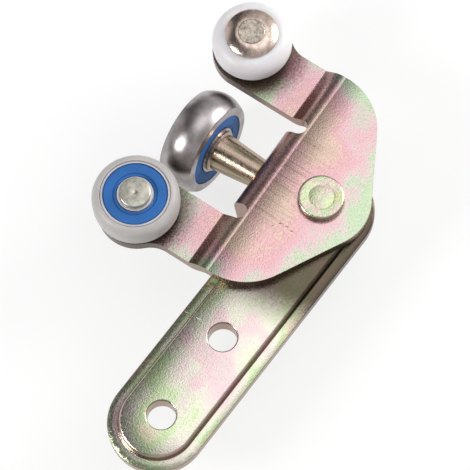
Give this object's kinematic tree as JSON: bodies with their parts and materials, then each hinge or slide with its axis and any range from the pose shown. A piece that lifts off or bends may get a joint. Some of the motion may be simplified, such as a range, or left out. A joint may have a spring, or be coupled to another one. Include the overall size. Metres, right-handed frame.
{
  "type": "sliding door roller",
  "caption": "Hinged roller carrier for a sliding van door: a bolted arm, a swinging plate with an upright load roller and a flat guide roller either side.",
  "frame": {"origin": "midway between the two bolt holes, on the mounting face of the arm", "axes": "+X along the arm towards the pivot, +Z out of the mounting face along the bolt holes, +Y towards the side the rollers are on"},
  "size_m": [0.1427, 0.0784, 0.0395],
  "materials": {
    "zinc_plated_steel": "yellow chromated zinc plating with faint rainbow patches, light wear",
    "rivet_steel": "plated, satin, with fine forming marks",
    "cap_steel": "plated and bright",
    "pin_steel": "matt silver",
    "bearing_steel": "ground bright steel",
    "ball_steel": "polished",
    "cage_plastic": "natural moulded polyamide",
    "seal_rubber": "blue, smooth",
    "tyre_plastic": "light grey, slightly satin",
    "nylon": "white, slightly satin"
  },
  "bodies": {
    "arm_body": {"arm": "zinc_plated_steel", "pivot_rivet": "rivet_steel"},
    "carrier": {"carrier_plate": "zinc_plated_steel", "load_axle": "zinc_plated_steel", "load_inner_ring": "bearing_steel", "guide_pin": "pin_steel", "guide_spacer": "pin_steel", "guide_inner_ring": "bearing_steel", "nylon_pin": "cap_steel", "nylon_washer": "pin_steel", "nylon_cap": "cap_steel"},
    "load_roller": {"load_outer_ring": "bearing_steel", "load_seal_near": "seal_rubber", "load_seal_far": "seal_rubber"},
    "load_ball_set": {"load_balls": "ball_steel", "load_cage": "cage_plastic"},
    "guide_roller": {"guide_outer_ring": "bearing_steel", "guide_seal_near": "seal_rubber", "guide_seal_far": "seal_rubber", "guide_tyre": "tyre_plastic"},
    "guide_ball_set": {"guide_balls": "ball_steel", "guide_cage": "cage_plastic"},
    "white_roller": {"nylon_roller": "nylon"}
  },
  "joints": [
    {"name": "carrier_pivot", "type": "hinge", "parent": "arm_body", "child": "carrier", "pos_m": [0.0679, 0.0015, 0.0083], "axis": [0, 0, 1], "range_deg": [-182, 4]},
    {"name": "load_spin", "type": "hinge", "parent": "carrier", "child": "load_roller", "pos_m": [0.06562, 0.04656, -0.0031], "axis": [-0.0503, 0.9936, -0.1011], "continuous": true},
    {"name": "load_ball_orbit", "type": "hinge", "parent": "carrier", "child": "load_ball_set", "pos_m": [0.06562, 0.04656, -0.0031], "axis": [-0.0503, 0.9936, -0.1011], "continuous": true},
    {"name": "guide_spin", "type": "hinge", "parent": "carrier", "child": "guide_roller", "pos_m": [0.0336, 0.04702, 0.0132], "axis": [0, 0, 1], "continuous": true},
    {"name": "guide_ball_orbit", "type": "hinge", "parent": "carrier", "child": "guide_ball_set", "pos_m": [0.0336, 0.04702, 0.0132], "axis": [0, 0, 1], "continuous": true},
    {"name": "nylon_spin", "type": "hinge", "parent": "carrier", "child": "white_roller", "pos_m": [0.09742, 0.05026, 0.0119], "axis": [0, 0, 1], "continuous": true}
  ],
  "couplings": [
    {"joint": "load_ball_orbit", "follows": "load_spin", "ratio": 0.6348},
    {"joint": "guide_ball_orbit", "follows": "guide_spin", "ratio": 0.6328}
  ]
}
